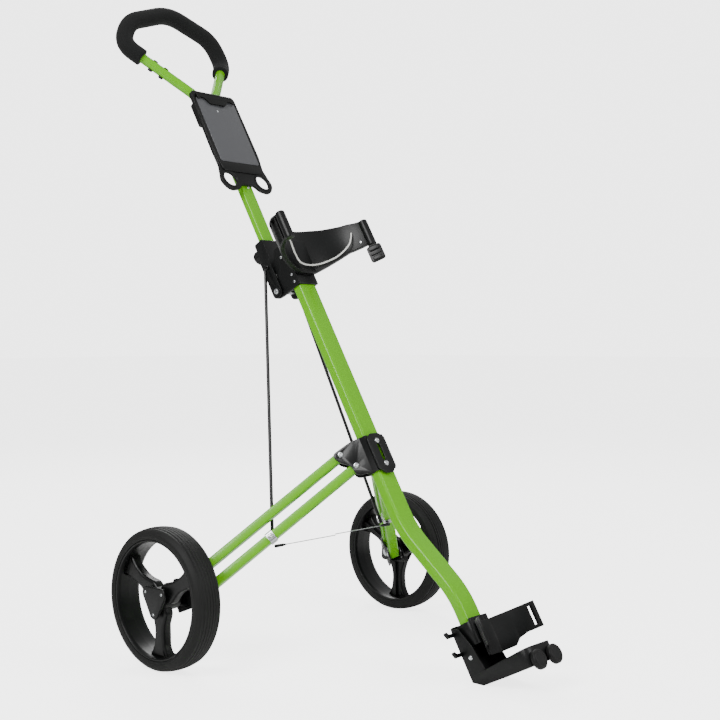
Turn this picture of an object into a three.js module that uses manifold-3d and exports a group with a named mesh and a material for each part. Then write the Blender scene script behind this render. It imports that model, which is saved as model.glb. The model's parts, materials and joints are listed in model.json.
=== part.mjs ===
// Folding golf push trolley. Millimetres, +Z up, -Y is the bag side, +Y the user's side.
// The origin is on the ground, under the middle of the whole trolley.
import * as THREE from 'three';
import { mergeVertices } from 'three/addons/utils/BufferGeometryUtils.js';
import Module from 'manifold-3d';

const wasm = await Module();
wasm.setup();

// ---- driving dimensions ------------------------------------------------------------
const WHEEL_RADIUS = 120;
const TYRE_WIDTH = 53;
const RIM_RADIUS = 103;
const HALF_TRACK = 305.5;
const AXLE_Y = 99.5;                // the axle line, measured from the origin
const LEAN = THREE.MathUtils.degToRad(29.75);   // shaft lean from vertical
const SHAFT_ORIGIN = [0, AXLE_Y - 173.7, 400.8]; // a point on the main tube's axis

// Shaft coordinates: X sideways, Y backwards from the shaft, Z up along it.
const MAIN = { width: 42, depth: 20, corner: 5, wall: 1.8, top: 368, low: -404 };
const JOG = { start: -200, end: -338, back: -50, ease: 32 };
const HANDLE = { width: 30, depth: 14, corner: 4, wall: 1.6, back: 42, low: 336, top: 752 };
const PIVOT = { back: 42, along: 300, radius: 5 };
const ROD_LEVER = 52;              // from the fold pivot up to the rod studs
const ROD_STUD_X = 31;

// Legs: each pair lies in a plane that holds the shaft's direction and sweeps backwards.
const SWEEP = THREE.MathUtils.degToRad(46.7);
const DROOP = THREE.MathUtils.degToRad(18.05);
const LEG = {
  height: 16, thick: 19, corner: 3, wall: 1.6, length: 332, overhang: 8, upperTip: 5,
};
const LOWER_PIVOT = [30, 24.5, -67.6];
const UPPER_OFFSET = [18.5, 27.9]; // outwards in the leg plane, and up the shaft
const CLIP_AT = 190;               // rod clip, measured along the lower leg
const ROD = { radius: 3, tipGap: 7 };
const CABLE_RADIUS = 1.1;
const CABLE_OFFSET = 1.5;           // the two halves swing past each other, side by side
const PIN = 3;                     // leg pivot rivet radius
const GAP = 0.35;                  // running clearance

const COLOURS = {
  green: [0x6db51a, 0.3, 0.35],
  black: [0x17191a, 0.55, 0],
  blackSteel: [0x131416, 0.4, 0.5],
  foam: [0x1b1c1c, 0.95, 0],
  rubber: [0x1c1d1d, 0.85, 0],
  panel: [0x3b3d3f, 0.25, 0],
  steel: [0xc9cbcd, 0.25, 1],
  cord: [0xd8d8d6, 0.7, 0],
};

// ---- small helpers -------------------------------------------------------------------
const V = (x, y, z) => new THREE.Vector3(x, y, z);

function solid(geometry) {
  const bare = geometry.clone();
  bare.deleteAttribute('normal');
  bare.deleteAttribute('uv');
  const welded = mergeVertices(bare, 1e-4);
  const mesh = new wasm.Mesh({
    numProp: 3,
    vertProperties: new Float32Array(welded.attributes.position.array),
    triVerts: new Uint32Array(welded.index.array),
  });
  return new wasm.Manifold(mesh);
}

function geometryOf(body) {
  const mesh = body.getMesh();
  const geometry = new THREE.BufferGeometry();
  geometry.setAttribute('position', new THREE.BufferAttribute(mesh.vertProperties, 3));
  geometry.setIndex(new THREE.BufferAttribute(mesh.triVerts, 1));
  geometry.computeVertexNormals();
  return geometry;
}

function join(...parts) {
  return geometryOf(parts.map(solid).reduce((sum, part) => sum.add(part)));
}

function cut(base, ...tools) {
  return geometryOf(tools.map(solid).reduce((rest, tool) => rest.subtract(tool), solid(base)));
}

function common(a, b) {
  return geometryOf(solid(a).intersect(solid(b)));
}

// A frame with its own X and Y directions; its Z is their cross product.
function frame(origin, xDirection, yDirection) {
  const x = V(...xDirection).normalize();
  const y = V(...yDirection).normalize();
  const matrix = new THREE.Matrix4().makeBasis(x, y, x.clone().cross(y));
  return matrix.setPosition(...origin);
}

function box(xs, ys, zs) {
  const size = [xs, ys, zs].map(([low, high]) => high - low);
  const middle = [xs, ys, zs].map(([low, high]) => (low + high) / 2);
  return new THREE.BoxGeometry(...size).translate(...middle);
}

function roundedRectangle(width, height, radius) {
  const x = width / 2;
  const y = height / 2;
  const shape = new THREE.Shape();
  shape.absarc(x - radius, y - radius, radius, 0, Math.PI / 2);
  shape.absarc(radius - x, y - radius, radius, Math.PI / 2, Math.PI);
  shape.absarc(radius - x, radius - y, radius, Math.PI, Math.PI * 1.5);
  shape.absarc(x - radius, radius - y, radius, Math.PI * 1.5, Math.PI * 2);
  shape.closePath();
  return shape;
}

function circle(radius) {
  const shape = new THREE.Shape();
  shape.absarc(0, 0, radius, 0, Math.PI * 2);
  return shape;
}

function tubeSection({ width, depth, corner, wall }) {
  const shape = roundedRectangle(width, depth, corner);
  shape.holes.push(roundedRectangle(width - 2 * wall, depth - 2 * wall, corner - wall));
  return shape;
}

// An arc gets twice as many sides as arcSteps, so a full circle of 6 steps has 12 sides.
function prism(shape, low, high, arcSteps = 2) {
  const geometry = new THREE.ExtrudeGeometry(shape, {
    depth: high - low, bevelEnabled: false, curveSegments: arcSteps,
  });
  return geometry.translate(0, 0, low);
}

function polygon(points) {
  return new THREE.Shape(points.map(([x, y]) => new THREE.Vector2(x, y)));
}

// An outline with every corner rounded by its own radius: [x, y, radius].
function roundedPolygon(points) {
  const shape = new THREE.Shape();
  points.forEach(([x, y, radius], index) => {
    const corner = new THREE.Vector2(x, y);
    const before = points[(index + points.length - 1) % points.length];
    const after = points[(index + 1) % points.length];
    const inward = new THREE.Vector2(before[0], before[1]).sub(corner);
    const outward = new THREE.Vector2(after[0], after[1]).sub(corner);
    const ease = Math.min(radius, inward.length() * 0.48, outward.length() * 0.48);
    const start = corner.clone().add(inward.setLength(ease));
    const end = corner.clone().add(outward.setLength(ease));
    if (index === 0) shape.moveTo(start.x, start.y);
    else shape.lineTo(start.x, start.y);
    shape.quadraticCurveTo(corner.x, corner.y, end.x, end.y);
  });
  shape.closePath();
  return shape;
}

// A straight bar whose section's X follows `side` as nearly as it can.
function bar(shape, from, to, side = [1, 0, 0], arcSteps = 2) {
  const start = V(...from);
  const along = V(...to).sub(start);
  const length = along.length();
  const z = along.normalize();
  const x = V(...side).addScaledVector(z, -z.dot(V(...side))).normalize();
  const matrix = new THREE.Matrix4().makeBasis(x, z.clone().cross(x), z).setPosition(start);
  return prism(shape, 0, length, arcSteps).applyMatrix4(matrix);
}

function rodBetween(from, to, radius, sides = 12) {
  return bar(circle(radius), from, to, [0.31, 0.95, 0.1], sides / 2);
}

function sweep(shape, path, steps, arcSteps = 1) {
  return new THREE.ExtrudeGeometry(shape, {
    extrudePath: path, steps, bevelEnabled: false, curveSegments: arcSteps,
  });
}

// Straight runs joined by eased corners: [x, y, z, ease].
function easedPath(points) {
  const path = new THREE.CurvePath();
  let last = V(...points[0]);
  for (let index = 1; index < points.length - 1; index += 1) {
    const corner = V(...points[index]);
    const ease = points[index][3];
    const before = V(...points[index - 1]).sub(corner).setLength(ease).add(corner);
    const after = V(...points[index + 1]).sub(corner).setLength(ease).add(corner);
    path.add(new THREE.LineCurve3(last, before));
    path.add(new THREE.QuadraticBezierCurve3(before, corner, after));
    last = after;
  }
  path.add(new THREE.LineCurve3(last, V(...points[points.length - 1])));
  return path;
}

function lathe(profile, sides) {
  const points = profile.map(([radius, height]) => new THREE.Vector2(radius, height));
  return new THREE.LatheGeometry(points, sides);
}

// A domed rivet or button, its foot on Z = 0 and its dome upwards, with a shank below.
function rivet(headRadius, headHeight, shankRadius, shankLength) {
  return lathe([
    [0, -shankLength], [shankRadius, -shankLength], [shankRadius, 0], [headRadius, 0],
    [headRadius * 0.9, headHeight * 0.6], [headRadius * 0.5, headHeight], [0, headHeight],
  ], 8).rotateX(Math.PI / 2);
}

function capsuleOutline(width, length) {
  return roundedRectangle(width, length, width / 2 - 0.01);
}

// ---- frames of the object ---------------------------------------------------------------
const shaftMatrix = new THREE.Matrix4().makeRotationX(-LEAN).setPosition(...SHAFT_ORIGIN);
const worldToShaft = shaftMatrix.clone().invert();

const sides = [{ tag: 'left', sign: -1 }, { tag: 'right', sign: 1 }];

// In shaft coordinates: outwards along a wing, across it, and down a leg.
function legFrame(sign) {
  const out = V(sign * Math.cos(SWEEP), Math.sin(SWEEP), 0);
  const up = V(0, 0, 1);
  const across = out.clone().cross(up);
  const down = out.clone().multiplyScalar(Math.cos(DROOP)).addScaledVector(up, -Math.sin(DROOP));
  const lower = V(sign * LOWER_PIVOT[0], LOWER_PIVOT[1], LOWER_PIVOT[2]);
  const upper = lower.clone().addScaledVector(out, UPPER_OFFSET[0]);
  upper.addScaledVector(up, UPPER_OFFSET[1]);
  return {
    out, up, across, down, lower, upper,
    lowerEnd: lower.clone().addScaledVector(down, LEG.length),
    upperEnd: upper.clone().addScaledVector(down, LEG.length),
    clip: lower.clone().addScaledVector(down, CLIP_AT),
  };
}

function acrossHole(leg, point, radius, half = 30) {
  const from = point.clone().addScaledVector(leg.across, -half).toArray();
  const to = point.clone().addScaledVector(leg.across, half).toArray();
  return rodBetween(from, to, radius, 10);
}

// ---- the frame: main tube, brackets, cradle, base -----------------------------------------
function mainTube() {
  const path = easedPath([
    [0, 0, MAIN.top], [0, 0, JOG.start, JOG.ease], [0, JOG.back, JOG.end, JOG.ease],
    [0, JOG.back, MAIN.low],
  ]);
  const turned = { ...MAIN, width: MAIN.depth, depth: MAIN.width };
  return sweep(tubeSection(turned), path, 26);
}

const SLEEVE = { x: 24.5, front: -13.5, back: 13.5, low: 284, top: 372 };
const tubeRoom = (low, high) => prism(
  roundedRectangle(MAIN.width + 2 * GAP, MAIN.depth + 2 * GAP, MAIN.corner), low, high);

function foldBracket() {
  const outline = roundedPolygon([
    [SLEEVE.front, SLEEVE.low, 2], [SLEEVE.front, SLEEVE.top, 4], [SLEEVE.back, SLEEVE.top, 6],
    [26, 352, 14], [31, 318, 8], [54, 314, 11], [55, 288, 12], [31, 285, 6],
  ]);
  const toSide = frame([-SLEEVE.x, 0, 0], [0, 1, 0], [0, 0, 1]);
  const block = prism(outline, 0, 2 * SLEEVE.x, 4).applyMatrix4(toSide);
  const behind = box([-19, 19], [SLEEVE.back, 70], [270, 380]);
  const pin = rodBetween([-40, PIVOT.back, PIVOT.along], [40, PIVOT.back, PIVOT.along],
    PIVOT.radius + GAP, 14);
  return cut(block, tubeRoom(270, MAIN.top + GAP), behind, pin);
}

function pivotPin() {
  const outer = 33;
  const profile = [[0, -outer], [7.5, -outer + 1.6], [7.5, -outer + 4], [PIVOT.radius, -outer + 4],
    [PIVOT.radius, outer - 4], [7.5, outer - 4], [7.5, outer - 1.6], [0, outer]];
  return lathe(profile, 16).rotateZ(-Math.PI / 2).translate(0, PIVOT.back, PIVOT.along);
}

const CRADLE = { radius: 108, arm: 9, reach: THREE.MathUtils.degToRad(75), low: 302 };

function bagCradle() {
  const rootBack = SLEEVE.front - GAP;
  const centre = rootBack - CRADLE.arm - CRADLE.radius;
  const { reach } = CRADLE;
  const outer = CRADLE.radius + CRADLE.arm;
  const plan = new THREE.Shape();
  plan.absarc(0, centre, outer, Math.PI / 2 - reach, Math.PI / 2 + reach, false);
  plan.absarc(0, centre, CRADLE.radius, Math.PI / 2 + reach, Math.PI / 2 - reach, true);
  plan.closePath();
  const half = [[0, 392], [40, 391], [74, 385], [94, 379], [104, 371], [130, 370], [130, 320],
    [85, 325], [20, CRADLE.low]];
  const side = polygon([...half, ...half.slice(1).reverse().map(([x, z]) => [-x, z])]);
  const sideFrame = frame([0, 60, 0], [1, 0, 0], [0, 0, 1]);
  const sideCut = prism(side, 0, 300).applyMatrix4(sideFrame);
  const arms = common(prism(plan, 290, 400, 12), sideCut);
  const tips = sides.map(({ sign }) => {
    const angle = Math.PI / 2 - sign * reach;
    const middle = CRADLE.radius + CRADLE.arm / 2;
    return prism(circle(8.5), 318, 371, 6)
      .translate(middle * Math.cos(angle), centre + middle * Math.sin(angle), 0);
  });
  const root = box([-21, 21], [rootBack - 10, rootBack], [CRADLE.low, 372]);
  return join(arms, ...tips, root);
}

function strapBuckle() {
  const outline = roundedRectangle(28, 32, 5);
  const seat = frame([107, -103, 300], [0.55, -0.83, 0], [0, 0, 1]);
  return prism(outline, -6, 6, 3).applyMatrix4(seat);
}

function cradleCord() {
  const path = new THREE.CatmullRomCurve3([
    V(92, -79.5, 357), V(86, -78.5, 346), V(76, -73, 332), V(56, -56, 319), V(28, -37, 314),
    V(0, -31, 313), V(-28, -37, 314), V(-56, -56, 319), V(-76, -73, 332), V(-86, -78.5, 346),
    V(-92, -79.5, 357),
  ]);
  return sweep(circle(1.5), path, 22, 2);
}

const WING = { plate: 2.5, gap: LEG.thick / 2 + 0.6 };

function wingPlates(sign) {
  const leg = legFrame(sign);
  const outline = roundedPolygon([
    [-30, 43, 2], [-6, 43, 8], [33, 33, 12], [27, 16, 9], [8, 2, 8], [7, -17, 9], [-30, -24, 2],
  ]);
  const place = frame(leg.lower.toArray(), leg.out.toArray(), [0, 0, 1]);
  return [-1, 1].map((face) => {
    const near = WING.gap;
    const far = WING.gap + WING.plate;
    const [low, high] = face > 0 ? [near, far] : [-far, -near];
    return prism(outline, low, high, 3).applyMatrix4(place);
  });
}

const BRACKET = { low: -92, top: -26, x: 24, back: 13 };

function legBracket() {
  const channel = box([-BRACKET.x, BRACKET.x], [-BRACKET.back, BRACKET.back],
    [BRACKET.low, BRACKET.top]);
  const spine = box([-15, 15], [BRACKET.back - 1, BRACKET.back + 16],
    [BRACKET.low + 6, BRACKET.top - 4]);
  const wings = sides.flatMap(({ sign }) => wingPlates(sign));
  const body = join(channel, spine, ...wings);
  const room = tubeRoom(-110, -10);
  const front = box([-16, 16], [-20, 0], [-110, -10]);
  const legRoom = sides.map(({ sign }) => {
    const leg = legFrame(sign);
    const place = frame(leg.lower.toArray(), leg.out.toArray(), [0, 0, 1]);
    return box([-13, 60], [-60, 60], [-WING.gap, WING.gap]).applyMatrix4(place);
  });
  const holes = sides.flatMap(({ sign }) => {
    const leg = legFrame(sign);
    return [leg.lower, leg.upper].map((point) => acrossHole(leg, point, PIN + GAP));
  });
  const rivetHoles = [-38, -81].map((along) => (
    rodBetween([0, -30, along], [0, -5, along], 3.4, 8)));
  return cut(body, room, front, ...legRoom, ...holes, ...rivetHoles);
}

const FRONT_PLATE = { back: -13.35, front: -16.4 };

function bracketFrontPlate() {
  const outline = roundedPolygon([
    [-23, -32, 7], [-12, -25, 7], [12, -25, 7], [23, -32, 7], [23, -90, 7], [12, -99, 9],
    [-12, -99, 9], [-23, -90, 7],
  ]);
  const place = frame([0, FRONT_PLATE.back, 0], [1, 0, 0], [0, 0, 1]);
  const plate = prism(outline, 0, FRONT_PLATE.back - FRONT_PLATE.front, 3).applyMatrix4(place);
  const slotPlace = frame([0, 0, -60], [1, 0, 0], [0, 0, 1]);
  const slot = prism(capsuleOutline(8, 32), 0, 30, 5).applyMatrix4(slotPlace);
  const holes = [-38, -81].map((along) => (
    rodBetween([0, -30, along], [0, -5, along], 2.9, 8)));
  return cut(plate, slot, ...holes);
}

function frontRivet(along) {
  const place = frame([0, FRONT_PLATE.front - 0.3, along], [1, 0, 0], [0, 0, 1]);
  return rivet(4.6, 2.2, 2.5, 2.8).applyMatrix4(place);
}

function legPin(sign, which) {
  const leg = legFrame(sign);
  const half = WING.gap + WING.plate + 0.3;
  const facing = sign < 0 ? leg.across.clone().negate() : leg.across.clone();
  const profile = [[0, -half - 2], [3.6, -half - 2], [5, -half], [PIN, -half], [PIN, half],
    [5.2, half], [4.4, half + 1.8], [2.4, half + 2.6], [0, half + 2.6]];
  const x = V(0, 0, 1);
  const matrix = new THREE.Matrix4().makeBasis(x, facing, x.clone().cross(facing));
  return lathe(profile, 8).applyMatrix4(matrix.setPosition(leg[which]));
}

// ---- the base that the bag stands in --------------------------------------------------------
const BASE = { back: JOG.back, socketTop: -384, socketLow: -426, heel: -489 };

function baseSocket() {
  const lobes = 5;
  const collar = prism(roundedRectangle(52, 34, 9), BASE.socketLow, BASE.socketTop - 4, 3);
  const flutes = Array.from({ length: lobes }, (_, index) => (
    prism(circle(5), BASE.socketLow, BASE.socketTop, 5)
      .translate(-18.4 + index * 9.2, -15.5, 0)));
  const outside = join(collar, ...flutes).translate(0, BASE.back, 0);
  const room = tubeRoom(MAIN.low - GAP, BASE.socketTop + 10).translate(0, BASE.back, 0);
  return cut(outside, room);
}

const FOOT = { plateBack: BASE.back + 20.5, plateFront: BASE.back + 17.4 };

function baseFoot() {
  const backPlate = roundedPolygon([
    [-33, -386, 5], [33, -386, 5], [33, BASE.heel, 3], [-33, BASE.heel, 3],
  ]);
  const standing = frame([0, FOOT.plateBack, 0], [1, 0, 0], [0, 0, 1]);
  const plate = prism(backPlate, 0, 3.1, 3).applyMatrix4(standing);
  const floorPlan = roundedPolygon([
    [-33, FOOT.plateFront + 1, 3], [33, FOOT.plateFront + 1, 3], [38, -118, 40], [38, -156, 20],
    [-38, -156, 20], [-38, -118, 40],
  ]);
  const tongue = prism(floorPlan, -500, -440, 4);
  const sideways = frame([-60, 0, 0], [0, 1, 0], [0, 0, 1]);
  const profile = polygon([[FOOT.plateBack + 2, BASE.heel], [-60, -490], [-125, -493],
    [-162, -494], [-162, -464], [-120, -466], [-70, -468], [FOOT.plateBack + 2, -470]]);
  const sideCut = prism(profile, 0, 120).applyMatrix4(sideways);
  const body = common(tongue, sideCut);
  const hollowPlan = roundedPolygon([
    [-29, FOOT.plateFront - 4, 4], [29, FOOT.plateFront - 4, 4], [34, -118, 36],
    [34, -152, 16], [-34, -152, 16], [-34, -118, 36],
  ]);
  const hollow = prism(hollowPlan, -478, -430, 4);
  const ground = box([-100, 100], [-700, 0], [-60, 0]).applyMatrix4(worldToShaft);
  return cut(join(plate, body), hollow, ground);
}

function basePad(sign) {
  const profile = [[0, 0], [14.6, 0], [16, 1.5], [16, 7], [13.6, 9.5], [0, 9.5]];
  return lathe(profile, 20).rotateX(Math.PI).translate(sign * 22, -156.4, -488);
}

function baseCradle() {
  const plan = [[18, -70.6], [46, -93], [78, -124]];
  const wall = 3.4;
  const outer = [...plan.map(([x, y]) => [x, y]), ...plan.map(([x, y]) => [-x, y]).reverse()];
  const inner = [...plan.map(([x, y]) => [x - 2.2, y - wall]),
    ...plan.map(([x, y]) => [2.2 - x, y - wall]).reverse()];
  const ring = polygon([...outer.slice(0, 3), ...inner.slice(0, 3).reverse(),
    ...inner.slice(3).reverse(), ...outer.slice(3)]);
  const sheet = prism(ring, -451, -392, 1);
  const face = polygon([[-80, -394], [80, -394], [80, -438], [56, -438], [44, -442], [36, -451],
    [-36, -451], [-44, -442], [-56, -438], [-80, -438]]);
  const facing = frame([0, 0, 0], [1, 0, 0], [0, 0, 1]);
  const trimmed = common(sheet, prism(face, 0, 300).applyMatrix4(facing));
  const slots = sides.map(({ sign }) => box([sign * 69 - 2.6, sign * 69 + 2.6], [-140, -90],
    [-432, -400]));
  return cut(trimmed, ...slots);
}

function strapHook(along) {
  const outline = roundedPolygon([
    [0, -4, 1.5], [16, -4, 2], [20, 4, 2], [17, 7, 2], [13, 2, 1.5], [0, 2, 1],
  ]);
  const place = frame([-33.4, FOOT.plateBack - 1.6, along], [-1, 0, 0], [0, 0, 1]);
  return prism(outline, -3, 3, 3).applyMatrix4(place);
}

// ---- the handle ---------------------------------------------------------------------------
function handleTube() {
  return prism(tubeSection(HANDLE), HANDLE.low, HANDLE.top).translate(0, HANDLE.back, 0);
}

const YOKE = { outer: 28, inner: 25, top: 408, bridge: 330 };

function foldYoke() {
  const outline = roundedPolygon([
    [30, 288, 9], [54, 288, 9], [54, YOKE.top, 4], [31, YOKE.top, 4],
  ]);
  const toSide = frame([-YOKE.outer, 0, 0], [0, 1, 0], [0, 0, 1]);
  const block = prism(outline, 0, 2 * YOKE.outer, 3).applyMatrix4(toSide);
  const between = box([-YOKE.inner, YOKE.inner], [0, 80], [270, YOKE.bridge]);
  const tubeSpace = prism(roundedRectangle(HANDLE.width + 2 * GAP, HANDLE.depth + 2 * GAP,
    HANDLE.corner), HANDLE.low - GAP, 412).translate(0, HANDLE.back, 0);
  const pin = rodBetween([-40, PIVOT.back, PIVOT.along], [40, PIVOT.back, PIVOT.along],
    PIVOT.radius + GAP, 14);
  const shoulders = sides.map(({ sign }) => box(
    [sign * 30 - 6.5, sign * 30 + 6.5], [20, 70], [366, 412]));
  return cut(block, between, tubeSpace, pin, ...shoulders);
}

function rodStud(sign) {
  const profile = [[0, 0], [4.6, 0], [4.6, 1.4], [2.6, 2.2], [2.6, 5.2], [4, 5.2], [4, 6.6],
    [0, 6.6]];
  const along = PIVOT.along + ROD_LEVER;
  return lathe(profile, 8).rotateZ(-sign * Math.PI / 2)
    .translate(sign * (YOKE.outer + 0.3), PIVOT.back, along);
}

function lockKnob() {
  const grip = lathe([[0, 0], [14, 0], [14, 19], [12.4, 23], [8, 25.6], [0, 26.6]], 16);
  const dents = Array.from({ length: 8 }, (_, index) => {
    const angle = (index * Math.PI) / 4;
    return new THREE.CylinderGeometry(2.4, 2.4, 15, 8)
      .translate(15.2 * Math.cos(angle), 10, 15.2 * Math.sin(angle));
  });
  return cut(grip, ...dents).translate(0, 54.3, 393);
}

// The loop's bends, in shaft coordinates, turned from its two flat parts.
const LOOP = { radius: 9.5, legX: 25.5, legBack: 46.5, steps: 38 };

function loopPath() {
  const bends = [
    { x: LOOP.legX, y: LOOP.legBack, z: 690, ease: 10 },
    { x: LOOP.legX, y: LOOP.legBack, z: 752, ease: 12 },
    { x: 130, y: 78.7, z: 883.4, ease: 60 },
    { x: 105, y: 63.9, z: 931.4, ease: 28 },
    { x: 0, y: 53.4, z: 967.6, ease: 34 },
  ];
  const left = bends.map(({ x, y, z, ease }) => [-x, y, z, ease]);
  const right = bends.slice(0, -1).reverse().map(({ x, y, z, ease }) => [x, y, z, ease]);
  const points = [...left, ...right];
  const path = new THREE.CurvePath();
  const spans = points.map((point, index) => {
    if (index === 0 || index === points.length - 1) return null;
    const corner = V(...point);
    const before = V(...points[index - 1]).sub(corner);
    const after = V(...points[index + 1]).sub(corner);
    const ease = Math.min(point[3], before.length() * 0.48, after.length() * 0.48);
    return {
      corner,
      start: corner.clone().add(before.setLength(ease)),
      end: corner.clone().add(after.setLength(ease)),
    };
  });
  let last = V(...points[0]);
  spans.forEach((span) => {
    if (!span) return;
    path.add(new THREE.LineCurve3(last, span.start));
    path.add(new THREE.QuadraticBezierCurve3(span.start, span.corner, span.end));
    last = span.end;
  });
  path.add(new THREE.LineCurve3(last, V(...points[points.length - 1])));
  return path;
}

const wholeLoop = loopPath();

class Stretch extends THREE.Curve {
  constructor(from, to) {
    super();
    this.from = from;
    this.to = to;
  }

  getPoint(t) {
    return wholeLoop.getPointAt(this.from + (this.to - this.from) * t);
  }
}

// The grip covers whole steps of the loop, and its bore clears the loop's own facets.
const GRIP = { radius: 17, bore: 10.4, first: 9, last: 29 };

function handleLoop() {
  const hollow = circle(LOOP.radius);
  hollow.holes.push(circle(LOOP.radius - 1.6));
  const tube = sweep(hollow, new Stretch(0, 1), LOOP.steps, 4);
  const holes = [0.1735, 0.205].map((at) => teeHolderShape(at, 3.4, 20));
  return cut(tube, ...holes);
}

function foamGrip() {
  const section = circle(GRIP.radius);
  section.holes.push(circle(GRIP.bore));
  const covered = new Stretch(GRIP.first / LOOP.steps, GRIP.last / LOOP.steps);
  return sweep(section, covered, GRIP.last - GRIP.first, 5);
}

function teeHolderShape(at, radius, half) {
  const point = wholeLoop.getPointAt(at);
  const along = wholeLoop.getTangentAt(at);
  const across = V(0, -Math.sin(LEAN), Math.cos(LEAN));
  across.addScaledVector(along, -along.dot(across)).normalize();
  const from = point.clone().addScaledVector(across, -half).toArray();
  const to = point.clone().addScaledVector(across, half).toArray();
  return rodBetween(from, to, radius, 8);
}

function teeHolder(at) {
  const body = teeHolderShape(at, 3, 12.5);
  const bore = teeHolderShape(at, 1.6, 9).translate(0, -8 * Math.sin(LEAN), 8 * Math.cos(LEAN));
  return cut(body, bore);
}

const CARD = { front: 26, back: 34.6, low: 566, top: 746 };

function cardHolder() {
  const frameOutline = roundedPolygon([
    [-52, CARD.low - 8, 6], [-58, CARD.low + 34, 12], [-56, CARD.top - 6, 8], [-50, CARD.top, 5],
    [50, CARD.top, 5], [56, CARD.top - 6, 8], [58, CARD.low + 34, 12], [52, CARD.low - 8, 6],
  ]);
  const toward = frame([0, CARD.back, 0], [1, 0, 0], [0, 0, 1]);
  const plate = prism(frameOutline, 0, CARD.back - CARD.front, 3).applyMatrix4(toward);
  const rings = sides.map(({ sign }) => prism(circle(27), 0, 6, 12)
    .applyMatrix4(frame([sign * 41.5, CARD.back, 543], [1, 0, 0], [0, 0, 1])));
  const bridge = box([-42, 42], [CARD.back - 6, CARD.back], [529, 572]);
  const holes = sides.map(({ sign }) => prism(circle(15.5), -5, 20, 10)
    .applyMatrix4(frame([sign * 41.5, CARD.back, 541], [1, 0, 0], [0, 0, 1])));
  const recess = prism(roundedRectangle(100, 152, 6), 0, 30)
    .applyMatrix4(frame([0, CARD.front + 2.4, 655], [1, 0, 0], [0, 0, 1]));
  return cut(join(plate, ...rings, bridge), ...holes, recess);
}

function cardPanel() {
  const place = frame([0, CARD.front + 2.1, 655], [1, 0, 0], [0, 0, 1]);
  return prism(roundedRectangle(98.6, 150.6, 5.5), 0, 2.4).applyMatrix4(place);
}

function cardClip() {
  const outline = roundedPolygon([
    [-47, 706, 4], [-47, 738, 4], [47, 738, 4], [47, 706, 4], [28, 698, 10], [-28, 698, 10],
  ]);
  const place = frame([0, CARD.front - 2.8, 0], [1, 0, 0], [0, 0, 1]);
  const sheet = prism(outline, 0, 1.8, 3).applyMatrix4(place);
  const foot = box([-46, 46], [CARD.front - 3, CARD.front - GAP], [733.5, 738]);
  return join(sheet, foot);
}

function loopClamp() {
  const block = prism(roundedRectangle(78, 25, 8), 684, 733).translate(0, 47.6, 0);
  const tubeSpace = prism(roundedRectangle(HANDLE.width + 2 * GAP, HANDLE.depth + 2 * GAP,
    HANDLE.corner), 660, 760).translate(0, HANDLE.back, 0);
  const legSpaces = sides.map(({ sign }) => prism(circle(LOOP.radius + 0.9), 689.6, 760, 6)
    .translate(sign * LOOP.legX, LOOP.legBack, 0));
  return cut(block, tubeSpace, ...legSpaces);
}

// ---- one leg with its carrier, rod, cable and wheel -----------------------------------------
function legTube(sign, which) {
  const leg = legFrame(sign);
  const start = leg[which].clone().addScaledVector(leg.down, -LEG.overhang);
  const tip = which === 'upper' ? LEG.upperTip : LEG.overhang;
  const end = leg[which].clone().addScaledVector(leg.down, LEG.length + tip);
  const section = roundedRectangle(LEG.thick, LEG.height, LEG.corner);
  section.holes.push(roundedRectangle(LEG.thick - 2 * LEG.wall, LEG.height - 2 * LEG.wall,
    LEG.corner - LEG.wall));
  const tube = bar(section, start.toArray(), end.toArray(), leg.across.toArray(), 1);
  const outerEnd = which === 'lower' ? leg.lowerEnd : leg.upperEnd;
  return cut(tube, acrossHole(leg, leg[which], PIN + GAP), acrossHole(leg, outerEnd, PIN + GAP));
}

function rodClip(sign) {
  const leg = legFrame(sign);
  const from = leg.clip.clone().addScaledVector(leg.down, -6.5).toArray();
  const to = leg.clip.clone().addScaledVector(leg.down, 6.5).toArray();
  const section = roundedRectangle(LEG.thick + 4, LEG.height + 4, LEG.corner + 1);
  section.holes.push(roundedRectangle(LEG.thick + 2 * GAP, LEG.height + 2 * GAP, LEG.corner));
  const band = bar(section, from, to, leg.across.toArray(), 1);
  const inward = sign < 0 ? leg.across.clone() : leg.across.clone().negate();
  const studFrom = leg.clip.clone().addScaledVector(inward, LEG.thick / 2 + 1);
  const studTo = studFrom.clone().addScaledVector(inward, 9);
  return join(band, rodBetween(studFrom.toArray(), studTo.toArray(), 2.6, 10));
}

// The foot of a rod stands beside the lower leg, on the clip's stud.
function rodEnds(sign) {
  const leg = legFrame(sign);
  const inward = sign < 0 ? leg.across.clone() : leg.across.clone().negate();
  const foot = leg.clip.clone().addScaledVector(inward, LEG.thick / 2 + 6.4);
  const head = V(sign * (ROD_STUD_X + 1), PIVOT.back, PIVOT.along + ROD_LEVER);
  return { foot, head, inward };
}

function pushRod(sign) {
  const { foot, head, inward } = rodEnds(sign);
  const along = head.clone().sub(foot).normalize();
  const low = foot.clone().addScaledVector(along, 2).toArray();
  const high = head.clone().addScaledVector(along, -ROD.tipGap).toArray();
  const shank = rodBetween(low, high, ROD.radius, 10);
  const eyeFrom = foot.clone().addScaledVector(inward, -3.2).toArray();
  const eyeTo = foot.clone().addScaledVector(inward, 3.2).toArray();
  const eye = rodBetween(eyeFrom, eyeTo, 6, 12);
  const boreFrom = foot.clone().addScaledVector(inward, -8).toArray();
  const boreTo = foot.clone().addScaledVector(inward, 8).toArray();
  return cut(join(shank, eye), rodBetween(boreFrom, boreTo, 2.6 + GAP, 10));
}

// The line both cable halves swing about.
const CABLE_AXIS = V(0, 0.5576, 0.8301);

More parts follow.
